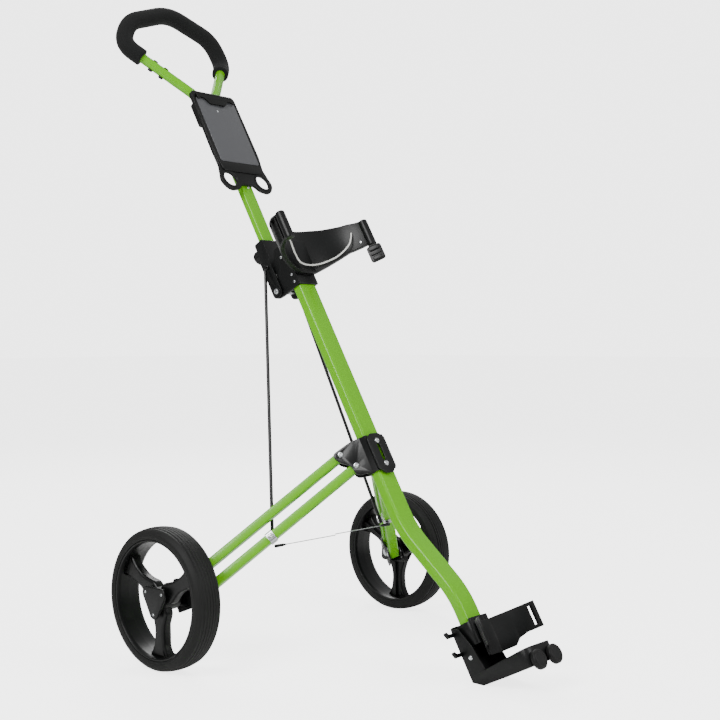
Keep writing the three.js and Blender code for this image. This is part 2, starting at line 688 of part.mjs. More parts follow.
function cableHalf(sign) {
  const leg = legFrame(sign);
  const inward = sign < 0 ? leg.across.clone() : leg.across.clone().negate();
  const start = leg.clip.clone().addScaledVector(leg.up, -LEG.height / 2 - 7);
  start.addScaledVector(inward, 2).addScaledVector(CABLE_AXIS, sign * CABLE_OFFSET);
  const middle = V(sign * 1.5, start.y, start.z);
  const toward = middle.clone().sub(start).normalize();
  const sleeveEnd = start.clone().addScaledVector(toward, 26);
  const wire = rodBetween(start.toArray(), middle.toArray(), CABLE_RADIUS, 8);
  const sleeve = rodBetween(start.toArray(), sleeveEnd.toArray(), 2.6, 8);
  return join(wire, sleeve);
}

const CARRIER = { plate: 2.6, gap: LEG.thick / 2 + 0.6, web: 272.6, webOut: 275.6 };

function wheelCarrier(sign) {
  const leg = legFrame(sign);
  const outline = roundedPolygon([
    [-11, -12, 8], [-10, 12, 9], [8, 39, 9], [26, 38, 9], [60, 20, 6], [60, -14, 6], [6, -16, 8],
  ]);
  const place = frame(leg.lowerEnd.toArray(), leg.out.toArray(), [0, 0, 1]);
  const cheeks = [-1, 1].map((face) => {
    const near = CARRIER.gap;
    const far = CARRIER.gap + CARRIER.plate;
    const [low, high] = face > 0 ? [near, far] : [-far, -near];
    return prism(outline, low, high, 2).applyMatrix4(place).applyMatrix4(shaftMatrix);
  });
  const innerX = [sign * 200, sign * CARRIER.webOut].sort((a, b) => a - b);
  const keep = box(innerX, [AXLE_Y - 90, AXLE_Y + 60], [60, 220]);
  const trimmed = cheeks.map((cheek) => common(cheek, keep));
  const webOutline = roundedPolygon([
    [AXLE_Y - 46, 103, 8], [AXLE_Y - 30, 148, 10], [AXLE_Y + 14, 148, 10], [AXLE_Y + 17, 103, 8],
  ]);
  const webStart = sign > 0 ? CARRIER.web : -CARRIER.webOut;
  const web = prism(webOutline, 0, CARRIER.webOut - CARRIER.web, 3)
    .applyMatrix4(frame([webStart, 0, 0], [0, 1, 0], [0, 0, 1]));
  const toWorld = (geometry) => geometry.applyMatrix4(shaftMatrix);
  const holes = [leg.lowerEnd, leg.upperEnd].map((point) => (
    toWorld(acrossHole(leg, point, PIN + GAP))));
  const axleHole = rodBetween([sign * 260, AXLE_Y, WHEEL_RADIUS],
    [sign * 290, AXLE_Y, WHEEL_RADIUS], 6 + GAP, 12);
  const headRoom = rodBetween([sign * 240, AXLE_Y, WHEEL_RADIUS],
    [sign * (CARRIER.web - GAP / 2), AXLE_Y, WHEEL_RADIUS], 9.6, 12);
  return cut(join(...trimmed, web), ...holes, axleHole, headRoom);
}

function carrierPin(sign) {
  const leg = legFrame(sign);
  const half = CARRIER.gap + CARRIER.plate + 0.3;
  const profile = [[0, -half - 1.6], [4.4, -half - 1.6], [4.8, -half], [PIN, -half], [PIN, half],
    [4.8, half], [4.4, half + 1.6], [0, half + 1.6]];
  const x = V(0, 0, 1);
  const matrix = new THREE.Matrix4().makeBasis(x, leg.across, x.clone().cross(leg.across));
  return lathe(profile, 8).applyMatrix4(matrix.setPosition(leg.lowerEnd)).applyMatrix4(shaftMatrix);
}

// Wheel pieces are built round their own axis, +X outwards, then turned to their side.
function toWheel(geometry, sign) {
  if (sign < 0) geometry.rotateZ(Math.PI);
  return geometry.translate(sign * HALF_TRACK, AXLE_Y, WHEEL_RADIUS);
}

function axle(sign) {
  const profile = [[0, -37.5], [9, -37.5], [9, -33.4], [6, -33.4], [6, 21], [0, 21]];
  return toWheel(lathe(profile, 14).rotateZ(-Math.PI / 2), sign);
}

function tyre(sign) {
  const half = TYRE_WIDTH / 2;
  const seat = RIM_RADIUS - 2;
  const profile = [
    [seat, -half + 2], [RIM_RADIUS + 3, -half], [WHEEL_RADIUS - 11, -half + 1],
    [WHEEL_RADIUS - 4, -half + 7], [WHEEL_RADIUS, -half + 17], [WHEEL_RADIUS, half - 17],
    [WHEEL_RADIUS - 4, half - 7], [WHEEL_RADIUS - 11, half - 1], [RIM_RADIUS + 3, half],
    [seat, half - 2], [seat, -half + 2],
  ];
  return toWheel(lathe(profile, 36).rotateZ(-Math.PI / 2), sign);
}

function rim(sign) {
  const outer = RIM_RADIUS - 2 - GAP;
  const half = TYRE_WIDTH / 2 - 2.5;
  const barrel = lathe([
    [outer, -half], [outer, half], [outer - 4, half], [outer - 6, half - 5],
    [outer - 6, -half + 5], [outer - 4, -half], [outer, -half],
  ], 36).rotateZ(-Math.PI / 2);
  const hub = new THREE.CylinderGeometry(24, 22, 40, 18).rotateZ(-Math.PI / 2).translate(-1, 0, 0);
  const spokes = [0, 1, 2].map((index) => {
    const outline = roundedPolygon([
      [-15, -97, 4], [15, -97, 4], [10.5, -50, 20], [16, -12, 8], [-16, -12, 8], [-10.5, -50, 20],
    ]);
    const blade = prism(outline, -7, 7, 2).applyMatrix4(frame([5, 0, 0], [0, 1, 0], [0, 0, 1]));
    return blade.rotateX((index * Math.PI * 2) / 3);
  });
  const bore = rodBetween([-60, 0, 0], [60, 0, 0], 6 + GAP, 14);
  const inset = new THREE.CylinderGeometry(20.5, 20.5, 20, 18).rotateZ(Math.PI / 2)
    .translate(26.5, 0, 0);
  const wheel = cut(join(barrel, hub, ...spokes), bore, inset);
  return toWheel(wheel, sign);
}

function hubCap(sign) {
  const profile = [[0, 16.9], [20, 16.9], [20, 22], [0, 22]];
  const boss = lathe(profile, 18).rotateZ(-Math.PI / 2);
  const corners = [-90, 30, 150].map((degrees) => {
    const turn = THREE.MathUtils.degToRad(degrees);
    return [42 * Math.cos(turn), 42 * Math.sin(turn), 22];
  });
  const cover = prism(roundedPolygon(corners), 0, 4.6, 6)
    .applyMatrix4(frame([19.4, 0, 0], [0, 1, 0], [0, 0, 1]));
  const room = rodBetween([0, 0, 0], [21.5, 0, 0], 6 + GAP, 14);
  return toWheel(cut(join(boss, cover), room), sign);
}

// ---- assembly ----------------------------------------------------------------------------
const trolley = new THREE.Group();
const shaft = new THREE.Group();
shaft.rotation.x = -LEAN;
shaft.position.set(...SHAFT_ORIGIN);
trolley.add(shaft);

function add(group, name, geometry, finish) {
  const [color, roughness, metalness] = COLOURS[finish];
  const material = new THREE.MeshStandardMaterial({ color, roughness, metalness });
  const mesh = new THREE.Mesh(geometry, material);
  mesh.name = name;
  group.add(mesh);
}

add(shaft, 'main_tube', mainTube(), 'green');
add(shaft, 'fold_bracket', foldBracket(), 'black');
add(shaft, 'fold_pivot_pin', pivotPin(), 'steel');
add(shaft, 'bag_cradle', bagCradle(), 'black');
add(shaft, 'cradle_cord', cradleCord(), 'cord');
add(shaft, 'strap_buckle', strapBuckle(), 'black');
add(shaft, 'leg_bracket', legBracket(), 'blackSteel');
add(shaft, 'bracket_front_plate', bracketFrontPlate(), 'blackSteel');
add(shaft, 'front_rivet_upper', frontRivet(-38), 'steel');
add(shaft, 'front_rivet_lower', frontRivet(-81), 'steel');
add(shaft, 'base_socket', baseSocket(), 'black');
add(shaft, 'base_foot', baseFoot(), 'black');
add(shaft, 'base_cradle', baseCradle(), 'black');
add(shaft, 'strap_hook_upper', strapHook(-397), 'black');
add(shaft, 'strap_hook_lower', strapHook(-430), 'black');

add(shaft, 'handle_tube', handleTube(), 'green');
add(shaft, 'fold_yoke', foldYoke(), 'black');
add(shaft, 'lock_knob', lockKnob(), 'black');
add(shaft, 'handle_loop', handleLoop(), 'green');
add(shaft, 'loop_clamp', loopClamp(), 'black');
add(shaft, 'foam_grip', foamGrip(), 'foam');
add(shaft, 'tee_holder_lower', teeHolder(0.1735), 'black');
add(shaft, 'tee_holder_upper', teeHolder(0.205), 'black');
add(shaft, 'card_holder', cardHolder(), 'black');
add(shaft, 'card_panel', cardPanel(), 'panel');
add(shaft, 'card_clip', cardClip(), 'black');

sides.forEach(({ tag, sign }) => {
  add(shaft, `base_pad_${tag}`, basePad(sign), 'rubber');
  add(shaft, `rod_stud_${tag}`, rodStud(sign), 'steel');
  add(shaft, `leg_pin_upper_${tag}`, legPin(sign, 'upper'), 'steel');
  add(shaft, `leg_pin_lower_${tag}`, legPin(sign, 'lower'), 'steel');
  add(shaft, `leg_upper_${tag}`, legTube(sign, 'upper'), 'green');
  add(shaft, `leg_lower_${tag}`, legTube(sign, 'lower'), 'green');
  add(shaft, `rod_clip_${tag}`, rodClip(sign), 'steel');
  add(shaft, `push_rod_${tag}`, pushRod(sign), 'blackSteel');
  add(shaft, `spreader_cable_${tag}`, cableHalf(sign), 'steel');
  add(trolley, `wheel_carrier_${tag}`, wheelCarrier(sign), 'blackSteel');
  add(trolley, `carrier_pin_${tag}`, carrierPin(sign), 'steel');
  add(trolley, `axle_${tag}`, axle(sign), 'steel');
  add(trolley, `tyre_${tag}`, tyre(sign), 'rubber');
  add(trolley, `rim_${tag}`, rim(sign), 'black');
  add(trolley, `hub_cap_${tag}`, hubCap(sign), 'black');
});

export default trolley;
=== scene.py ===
import json
import math

import bmesh
import bpy
from mathutils import Matrix, Vector


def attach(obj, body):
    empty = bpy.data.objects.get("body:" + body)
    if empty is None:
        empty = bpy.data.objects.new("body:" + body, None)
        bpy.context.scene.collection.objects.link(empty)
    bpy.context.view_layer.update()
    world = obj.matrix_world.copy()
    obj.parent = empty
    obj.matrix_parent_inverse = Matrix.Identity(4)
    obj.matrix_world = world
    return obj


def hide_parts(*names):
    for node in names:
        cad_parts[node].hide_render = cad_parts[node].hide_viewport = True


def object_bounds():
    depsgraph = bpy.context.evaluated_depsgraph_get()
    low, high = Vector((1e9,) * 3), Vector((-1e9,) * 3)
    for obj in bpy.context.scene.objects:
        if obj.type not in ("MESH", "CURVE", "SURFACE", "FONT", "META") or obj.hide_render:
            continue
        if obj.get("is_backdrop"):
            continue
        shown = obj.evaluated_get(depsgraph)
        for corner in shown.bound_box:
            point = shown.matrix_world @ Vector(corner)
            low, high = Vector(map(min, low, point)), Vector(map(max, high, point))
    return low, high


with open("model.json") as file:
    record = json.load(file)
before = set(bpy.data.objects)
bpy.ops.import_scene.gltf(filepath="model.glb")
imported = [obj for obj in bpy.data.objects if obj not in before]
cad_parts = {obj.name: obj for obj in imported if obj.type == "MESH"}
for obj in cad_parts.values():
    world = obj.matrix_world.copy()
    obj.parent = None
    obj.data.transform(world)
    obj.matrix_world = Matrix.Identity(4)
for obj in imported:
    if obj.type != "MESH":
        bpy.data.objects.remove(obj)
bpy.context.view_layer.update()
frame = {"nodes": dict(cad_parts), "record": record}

MM = 0.001
JOINTS = {joint["name"]: joint for joint in frame["record"]["behaviour"]["joints"]}
SIDES = (("left", -1), ("right", 1))


def joint_at(name):
    return Vector(JOINTS[name]["pos_m"])


def joint_axis(name):
    return Vector(JOINTS[name]["axis"]).normalized()


# Shaft directions: X sideways, back away from the bag, and along the tube.
# The fold pivot lies 42 mm behind the tube's axis and 300 mm up from its middle.
SIDE = Vector((1, 0, 0))
BACK = joint_axis("lock_knob_turn")
ALONG = SIDE.cross(BACK)
PIVOT_BACK, PIVOT_ALONG = 42, 300
MIDDLE = joint_at("handle_fold") - (BACK * PIVOT_BACK + ALONG * PIVOT_ALONG) * MM


def shaft(x, back, along):
    return MIDDLE + (SIDE * x + BACK * back + ALONG * along) * MM


def placed(origin, x, y):
    x = x.normalized()
    y = (y - x * x.dot(y)).normalized()
    z = x.cross(y)
    return Matrix.Translation(origin) @ Matrix((x, y, z)).transposed().to_4x4()


def on_shaft(x, back, along, facing="front"):
    """A frame on the shaft. Its local Z points to the front, back, left or right."""
    axes = {"front": (SIDE, ALONG), "back": (-SIDE, ALONG), "right": (BACK, ALONG),
            "left": (-BACK, ALONG), "up": (SIDE, BACK)}
    return placed(shaft(x, back, along), *axes[facing])


# ---- materials -------------------------------------------------------------------------------
def colour(code):
    channels = [int(code[i:i + 2], 16) / 255 for i in (1, 3, 5)]
    return [c / 12.92 if c <= 0.04045 else ((c + 0.055) / 1.055) ** 2.4 for c in channels] + [1]


def add(tree, kind, inputs=None, links=None, **settings):
    made = tree.nodes.new(kind)
    for key, value in settings.items():
        setattr(made, key, value)
    for key, value in (inputs or {}).items():
        made.inputs[key].default_value = value
    for key, socket in (links or {}).items():
        tree.links.new(socket, made.inputs[key])
    return made


def surface(name, base, inputs, grain, bump, mottle=0.0, cells=False):
    """A surface with grain `grain` mm across, raised `bump` mm, and roughness mottled by `mottle`."""
    material = bpy.data.materials.new(name)
    material.use_nodes = True
    tree = material.node_tree
    shader = tree.nodes["Principled BSDF"]
    shader.inputs["Base Color"].default_value = colour(base)
    for key, value in inputs.items():
        shader.inputs[key].default_value = value
    place = add(tree, "ShaderNodeTexCoord").outputs["Object"]
    kind = "ShaderNodeTexVoronoi" if cells else "ShaderNodeTexNoise"
    fine = add(tree, kind, {"Scale": 1000 / grain}, {"Vector": place})
    height = fine.outputs["Distance" if cells else "Fac"]
    raised = add(tree, "ShaderNodeBump", {"Strength": 1, "Distance": bump * MM},
                 {"Height": height})
    tree.links.new(raised.outputs["Normal"], shader.inputs["Normal"])
    if mottle:
        broad = add(tree, "ShaderNodeTexNoise", {"Scale": 28, "Detail": 4}, {"Vector": place})
        rough = inputs["Roughness"]
        spread = add(tree, "ShaderNodeMapRange",
                     {"To Min": rough - mottle, "To Max": rough + mottle},
                     {"Value": broad.outputs["Fac"]})
        tree.links.new(spread.outputs["Result"], shader.inputs["Roughness"])
    return material


# Lime-green stoved enamel on the tubes: glossy, with a faint orange peel.
enamel = surface("green_enamel_paint", "#60AC00", {
    "Roughness": 0.27, "Specular IOR Level": 0.25, "Coat Weight": 0.2,
    "Coat Roughness": 0.06}, 3.5, 0.012, 0.04)
# Black injection-moulded nylon: fine spark-eroded texture.
nylon = surface("black_moulded_nylon", "#060707", {
    "Roughness": 0.38, "Specular IOR Level": 0.28}, 0.7, 0.03, 0.05)
# Black powder coat on pressed steel; the same black also paints the shade in the screw recesses as
# black bars.
powder_and_recess_shade = surface("black_powder_coat_and_recess_shade", "#060707", {
    "Roughness": 0.34, "Specular IOR Level": 0.3, "Coat Weight": 0.1}, 1.2, 0.03, 0.04)
# Closed-cell foam of the hand grip.
foam = surface("black_closed_cell_foam", "#0C0D0D", {
    "Roughness": 0.88, "Specular IOR Level": 0.25, "Sheen Weight": 0.05}, 1.1, 0.12, 0.05, True)
# Solid tyre rubber.
tread_rubber = surface("tyre_rubber", "#0B0C0B", {
    "Roughness": 0.62, "Specular IOR Level": 0.28}, 0.9, 0.03, 0.07)
# Softer rubber of the foot pads.
pad_rubber = surface("soft_pad_rubber", "#090909", {
    "Roughness": 0.55, "Specular IOR Level": 0.28}, 0.8, 0.02, 0.06)
# Smoked, polished plastic of the card panel.
smoked = surface("smoked_plastic_panel", "#46474A", {
    "Roughness": 0.3, "Coat Weight": 0.3, "Coat Roughness": 0.08}, 5.0, 0.004, 0.03)
# Bright zinc-plated steel of the rivets, pins and screws.
zinc = surface("zinc_plated_steel", "#C6C9CB", {
    "Metallic": 1.0, "Roughness": 0.27}, 0.6, 0.006, 0.07)
# Thin stranded steel cable.
strand = surface("stranded_steel_cable", "#AEB1B3", {
    "Metallic": 1.0, "Roughness": 0.35}, 0.35, 0.08, 0.05)
# White woven elastic cord.
woven = surface("white_elastic_cord", "#D9D9D4", {"Roughness": 0.8}, 0.6, 0.12, 0.06, True)


# ---- shapes ----------------------------------------------------------------------------------
def arc(x, y, radius, start, end, count):
    turns = [math.radians(start + (end - start) * i / count) for i in range(count + 1)]
    return [(x + radius * math.cos(a), y + radius * math.sin(a)) for a in turns]


def ring(radius, count=48):
    return arc(0, 0, radius, 0, 360, count)[:-1]


def filleted(points, closed=True, steps=6):
    """Corners of [x, y, radius] points, each turned into a true fillet."""
    made = []
    count = len(points)
    for index, (x, y, radius) in enumerate(points):
        end = not closed and index in (0, count - 1)
        if end or radius <= 0:
            made.append((x, y))
            continue
        corner = Vector((x, y))
        before = Vector(points[index - 1][:2]) - corner
        after = Vector(points[(index + 1) % count][:2]) - corner
        angle = before.angle(after)
        if angle > 3.1:
            made.append((x, y))
            continue
        reach = min(radius / math.tan(angle / 2), before.length * 0.49, after.length * 0.49)
        radius = reach * math.tan(angle / 2)
        middle = corner + (before.normalized() + after.normalized()).normalized() \
            * (radius / math.sin(angle / 2))
        first = corner + before.normalized() * reach - middle
        last = corner + after.normalized() * reach - middle
        turn = first.angle_signed(last)
        for step in range(steps + 1):
            made.append(tuple(middle + Matrix.Rotation(-turn * step / steps, 2) @ first))
    return made


def rectangle(width, height, radius, steps=5, x=0, y=0):
    w, h = width / 2, height / 2
    return filleted([(x - w, y - h, radius), (x + w, y - h, radius), (x + w, y + h, radius),
                     (x - w, y + h, radius)], steps=steps)


def shell(vertices, faces, matrix=Matrix()):
    mesh = bpy.data.meshes.new("shell")
    mesh.from_pydata([matrix @ (Vector(v) * MM) for v in vertices], [], faces)
    mesh.validate()
    return mesh


def lathe(profile, matrix, count=32, wave=None):
    """Turns (radius, height) points round local Z. wave(angle, height) is added to the radius."""
    vertices, rows, faces = [], [], []
    for radius, height in profile:
        if radius < 1e-6:
            rows.append([len(vertices)] * count)
            vertices.append((0, 0, height))
            continue
        rows.append(list(range(len(vertices), len(vertices) + count)))
        for i in range(count):
            turn = 2 * math.pi * i / count
            size = radius + (wave(turn, height) if wave else 0)
            vertices.append((size * math.cos(turn), size * math.sin(turn), height))
    for low, high in zip(rows, rows[1:]):
        for i in range(count):
            j = (i + 1) % count
            face = [low[i], low[j], high[j], high[i]]
            faces.append(list(dict.fromkeys(face)))
    return shell(vertices, [f for f in faces if len(f) > 2], matrix)


def plate(outline, low, high, matrix, bevel=0.8, holes=(), steps=2):
    """A flat piece between two heights on local Z, with holes and rounded edges."""
    curve = bpy.data.curves.new("plate", "CURVE")
    curve.dimensions = "2D"
    curve.fill_mode = "BOTH"
    for loop in (outline, *holes):
        line = curve.splines.new("POLY")
        line.points.add(len(loop) - 1)
        for point, (x, y) in zip(line.points, loop):
            point.co = (x * MM, y * MM, 0, 1)
        line.use_cyclic_u = True
    curve.extrude = ((high - low) / 2 - bevel) * MM
    curve.bevel_depth = bevel * MM
    curve.bevel_resolution = steps
    curve.offset = -bevel * MM
    holder = bpy.data.objects.new("plate", curve)
    bpy.context.scene.collection.objects.link(holder)
    bpy.context.view_layer.update()
    ready = holder.evaluated_get(bpy.context.evaluated_depsgraph_get())
    mesh = bpy.data.meshes.new_from_object(ready)
    mesh.transform(matrix @ Matrix.Translation((0, 0, (low + high) / 2 * MM)))
    mesh.materials.clear()
    bpy.data.objects.remove(holder)
    return mesh


def sweep(section, path, side, hole=None):
    """Carries a section along a path of points in metres. Its X keeps to `side`."""
    vertices, faces = [], []
    rims = []
    loops = [section] + ([hole] if hole else [])
    for number, loop in enumerate(loops):
        rows = []
        for index, point in enumerate(path):
            before = path[max(index - 1, 0)]
            after = path[min(index + 1, len(path) - 1)]
            tangent = (after - before).normalized()
            x = (side - tangent * tangent.dot(side)).normalized()
            y = tangent.cross(x)
            rows.append(list(range(len(vertices), len(vertices) + len(loop))))
            vertices += [(point + (x * a + y * b) * MM) / MM for a, b in loop]
        for low, high in zip(rows, rows[1:]):
            for i in range(len(loop)):
                j = (i + 1) % len(loop)
                face = [low[i], low[j], high[j], high[i]]
                faces.append(face[::-1] if number else face)
        rims.append((rows[0], rows[-1]))
    if hole:
        for (outer, inner), flip in zip(zip(*rims), (True, False)):
            for i in range(len(section)):
                j = (i + 1) % len(section)
                face = [outer[i], outer[j], inner[j], inner[i]]
                faces.append(face[::-1] if flip else face)
    else:
        faces += [rims[0][0][::-1], rims[0][1]]
    return shell(vertices, faces)


def eased(points, steps=14):
    """Straight runs with eased corners through (point, ease) pairs, as points in metres."""
    path = [points[0][0]]
    for (before, _), (corner, ease), (after, _) in zip(points, points[1:], points[2:]):
        shortest = min((before - corner).length, (after - corner).length)
        ease = min(ease, 0.48 * shortest / MM)
        start = corner + (before - corner).normalized() * ease * MM
        end = corner + (after - corner).normalized() * ease * MM
        for step in range(steps + 1):
            t = step / steps
            path.append(start * (1 - t) ** 2 + corner * 2 * t * (1 - t) + end * t * t)
    return path + [points[-1][0]]


def resampled(path, first, last, count):
    """Points at even distances on a path, from one share of its length to another."""
    lengths = [0.0]
    for a, b in zip(path, path[1:]):
        lengths.append(lengths[-1] + (b - a).length)
    made = []
    for step in range(count + 1):
        want = lengths[-1] * (first + (last - first) * step / count)
        index = max(i for i, length in enumerate(lengths[:-1]) if length <= want + 1e-9)
        part = (want - lengths[index]) / (lengths[index + 1] - lengths[index])
        made.append(path[index].lerp(path[index + 1], part))
    return made


def refined(node, bevel, angle=30):
    """A CAD solid's own shape with its edges rounded by `bevel` mm."""
    mesh = frame["nodes"][node].data.copy()
    made = bmesh.new()
    made.from_mesh(mesh)
    bmesh.ops.remove_doubles(made, verts=made.verts, dist=2e-6)
    bmesh.ops.dissolve_limit(made, angle_limit=math.radians(1.5), verts=made.verts,
                             edges=made.edges)
    made.to_mesh(mesh)
    made.free()
    mesh.materials.clear()
    holder = bpy.data.objects.new("refined", mesh)
    bpy.context.scene.collection.objects.link(holder)
    rounding = holder.modifiers.new("rounding", "BEVEL")
    rounding.width = bevel * MM
    rounding.segments = 2
    rounding.limit_method = "ANGLE"
    rounding.angle_limit = math.radians(angle)
    bpy.context.view_layer.update()
    ready = holder.evaluated_get(bpy.context.evaluated_depsgraph_get())
    result = bpy.data.meshes.new_from_object(ready)
    bpy.data.objects.remove(holder)
    return result


def piece(name, meshes, body, material, stands_for=(), smooth=38):
    """Joins meshes into one finished piece that rides on a body."""
    joined = bmesh.new()
    for mesh in meshes:
        joined.from_mesh(mesh)
        bpy.data.meshes.remove(mesh)
    bmesh.ops.remove_doubles(joined, verts=joined.verts, dist=1e-6)
    bmesh.ops.recalc_face_normals(joined, faces=joined.faces)
    mesh = bpy.data.meshes.new(name)
    joined.to_mesh(mesh)
    joined.free()
    mesh.shade_smooth()
    mesh.set_sharp_from_angle(angle=math.radians(smooth))
    mesh.materials.append(material)
    obj = bpy.data.objects.new(name, mesh)
    bpy.context.scene.collection.objects.link(obj)
    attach(obj, body)
    if stands_for:
        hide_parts(*stands_for)
    return obj


def screw(matrix, radius=3.2, height=1.6):
    """A pan-head screw, its head above local Z = 0; its cross recess is not cut but painted as black
    bars on the head, painted shade.
    """
    head = filleted([(0, height, 0), (radius * 0.7, height, 1.2), (radius, height * 0.45, 1),
                     (radius, -1.5, 0), (0, -1.5, 0)], closed=False)
    # Two black bars standing just proud of the head: painted shade where the cross recess would be
    # dark.
    recess_shade_bars = [plate(rectangle(radius * 1.1, 0.7, 0.1, 2), height - 0.4, height + 0.06, matrix
                  @ Matrix.Rotation(turn, 4, "Z"), 0.05) for turn in (0.4, 0.4 + math.pi / 2)]
    return lathe(head, matrix, 24), recess_shade_bars


def rivet_head(matrix, radius=5, height=2.4):
    """A domed rivet head with a rolled centre dimple, above local Z = 0."""
    dome = filleted([(0, height * 0.62, 0), (radius * 0.3, height * 0.62, 0.5),
                     (radius * 0.42, height, 0.8), (radius * 0.78, height * 0.86, 1.2),
                     (radius, height * 0.25, 0.8), (radius, -1, 0)], closed=False)
    return lathe(dome, matrix, 32)


# ---- camera, light and floor -----------------------------------------------------------------
camera = bpy.data.objects.new("camera", bpy.data.cameras.new("camera"))
bpy.context.scene.collection.objects.link(camera)
bpy.context.scene.camera = camera
camera.location = (-1.5822, -1.4710, 0.5530)
turn, rise = math.radians(-48.6686), math.radians(1.2568)
behind = Vector((math.sin(turn) * math.cos(rise), -math.cos(turn) * math.cos(rise),
                 math.sin(rise)))
camera.rotation_mode = "QUATERNION"
level = (-behind).to_track_quat("-Z", "Y")
camera.rotation_quaternion = level @ Matrix.Rotation(math.radians(-0.1784), 3,
                                                     "Z").to_quaternion()
camera.data.lens = 59.95
camera.data.shift_x, camera.data.shift_y = -0.0064, 0.0068
camera.data.clip_start, camera.data.clip_end = 0.05, 100

# The camera sees the floor and the backdrop in one white, so that no horizon shows.
# This glow lights nothing: the lamps and the soft sky do.
FLOOR_GLOW = 3.0
BACKDROP = 3.7
floor_mesh = bpy.data.meshes.new("floor")
floor_mesh.from_pydata([(-30, -30, 0), (30, -30, 0), (30, 30, 0), (-30, 30, 0)], [],
                       [(0, 1, 2, 3)])
floor = bpy.data.objects.new("floor", floor_mesh)
bpy.context.scene.collection.objects.link(floor)
# Pale studio floor paint.
paint = surface("pale_studio_floor", "#F0F0EF", {
    "Roughness": 0.7, "Emission Color": (1, 1, 1, 1)}, 2.0, 0.01)
lit = add(paint.node_tree, "ShaderNodeMath", {1: FLOOR_GLOW},
          {0: add(paint.node_tree, "ShaderNodeLightPath").outputs["Is Camera Ray"]})
lit.operation = "MULTIPLY"
paint.node_tree.links.new(lit.outputs["Value"],
                          paint.node_tree.nodes["Principled BSDF"].inputs["Emission Strength"])
floor_mesh.materials.append(paint)
floor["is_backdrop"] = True

world = bpy.data.worlds.new("studio")
world.use_nodes = True
sky = world.node_tree
bright = add(sky, "ShaderNodeSeparateXYZ",
             links={"Vector": add(sky, "ShaderNodeTexCoord").outputs["Generated"]})
fade = add(sky, "ShaderNodeMapRange", {"From Min": -0.2, "From Max": 0.9, "To Min": 0.18,
                                      "To Max": 0.7}, {"Value": bright.outputs["Z"]})
seen = add(sky, "ShaderNodeMix", {"B": BACKDROP},
           {"Factor": add(sky, "ShaderNodeLightPath").outputs["Is Camera Ray"],
            "A": fade.outputs["Result"]})
sky.links.new(seen.outputs["Result"], sky.nodes["Background"].inputs["Strength"])
sky.nodes["Background"].inputs["Color"].default_value = (1, 1, 1, 1)
bpy.context.scene.world = world


def softbox(name, place, power, width, height):
    lamp = bpy.data.lights.new(name, "AREA")
    lamp.shape = "RECTANGLE"
    lamp.size, lamp.size_y, lamp.energy = width, height, power
    holder = bpy.data.objects.new(name, lamp)
    holder.location = place
    holder.rotation_mode = "QUATERNION"
    toward = Vector((0, 0, 0.5)) - Vector(place)
    holder.rotation_quaternion = toward.to_track_quat("-Z", "Y")
    bpy.context.scene.collection.objects.link(holder)


softbox("key", (-2.6, -0.4, 2.4), 105, 1.6, 1.6)
softbox("front", (0.8, -2.8, 1.8), 50, 1.2, 1.8)
softbox("rim", (1.8, 2.2, 2.6), 60, 1.8, 1.0)


# ---- green tubes -----------------------------------------------------------------------------
piece("main_tube_bent", [sweep(
    rectangle(42, 20, 5, 7), eased([
        (shaft(0, 0, 368), 0), (shaft(0, 0, -200), 36), (shaft(0, -50, -338), 36),
        (shaft(0, -50, -404), 0)], 16), SIDE, rectangle(38.4, 16.4, 3.2, 7))],
    "frame", enamel, ["main_tube"])
piece("handle_tube_straight", [sweep(
    rectangle(30, 14, 4, 7), [shaft(0, 42, 336), shaft(0, 42, 752)], SIDE,
    rectangle(26.8, 10.8, 2.4, 7))], "handle", enamel, ["handle_tube"])

LOOP_BENDS = [(25.5, 46.5, 690, 10), (25.5, 46.5, 752, 12), (130, 78.7, 883.4, 60),
              (105, 63.9, 931.4, 25), (0, 53.4, 967.6, 34)]
bends = [(shaft(-x, back, along), ease) for x, back, along, ease in LOOP_BENDS]
bends += [(shaft(x, back, along), ease) for x, back, along, ease in LOOP_BENDS[-2::-1]]
loop = eased(bends, 18)
piece("handle_loop_tube", [sweep(ring(9.5, 32), resampled(loop, 0, 1, 190), BACK, ring(8, 32))],
      "handle", enamel, ["handle_loop"])

GRIP_FIRST, GRIP_LAST = 9 / 38, 29 / 38
core = resampled(loop, GRIP_FIRST, GRIP_LAST, 150)


def grip_mesh():
    """A thick sleeve with square-cut ends that are only just rounded."""
    rounding = [(0, 2.2), (0.6, 0.9), (1.4, 0.25), (2.6, 0)]
    first, last = (core[1] - core[0]).normalized(), (core[-1] - core[-2]).normalized()
    path = [core[0] + first * d * MM for d, _ in rounding] + core[2:-2]
    path += [core[-1] - last * d * MM for d, _ in rounding[::-1]]
    shrink = [s for _, s in rounding] + [0] * (len(core) - 4) + [s for _, s in rounding[::-1]]
    count = 40
    vertices, faces, rows = [], [], []
    for index, (point, less) in enumerate(zip(path, shrink)):
        tangent = (path[min(index + 1, len(path) - 1)] - path[max(index - 1, 0)]).normalized()
        x = (BACK - tangent * tangent.dot(BACK)).normalized()
        y = tangent.cross(x)
        rows.append(list(range(len(vertices), len(vertices) + count)))
        vertices += [(point + (x * a + y * b) * MM) / MM for a, b in ring(17 - less, count)]
    for low, high in zip(rows, rows[1:]):
        faces += [[low[i], low[(i + 1) % count], high[(i + 1) % count], high[i]]
                  for i in range(count)]
    for row, index, flip in ((rows[0], 0, True), (rows[-1], -1, False)):
        tangent = first if index == 0 else last
        x = (BACK - tangent * tangent.dot(BACK)).normalized()
        y = tangent.cross(x)
        inner = list(range(len(vertices), len(vertices) + count))
        vertices += [(path[index] + (x * a + y * b) * MM) / MM for a, b in ring(9.6, count)]
        for i in range(count):
            j = (i + 1) % count
            face = [row[i], row[j], inner[j], inner[i]]
            faces.append(face[::-1] if flip else face)
    return shell(vertices, faces)


grip = piece("foam_hand_grip", [grip_mesh()], "handle", foam, ["foam_grip"])

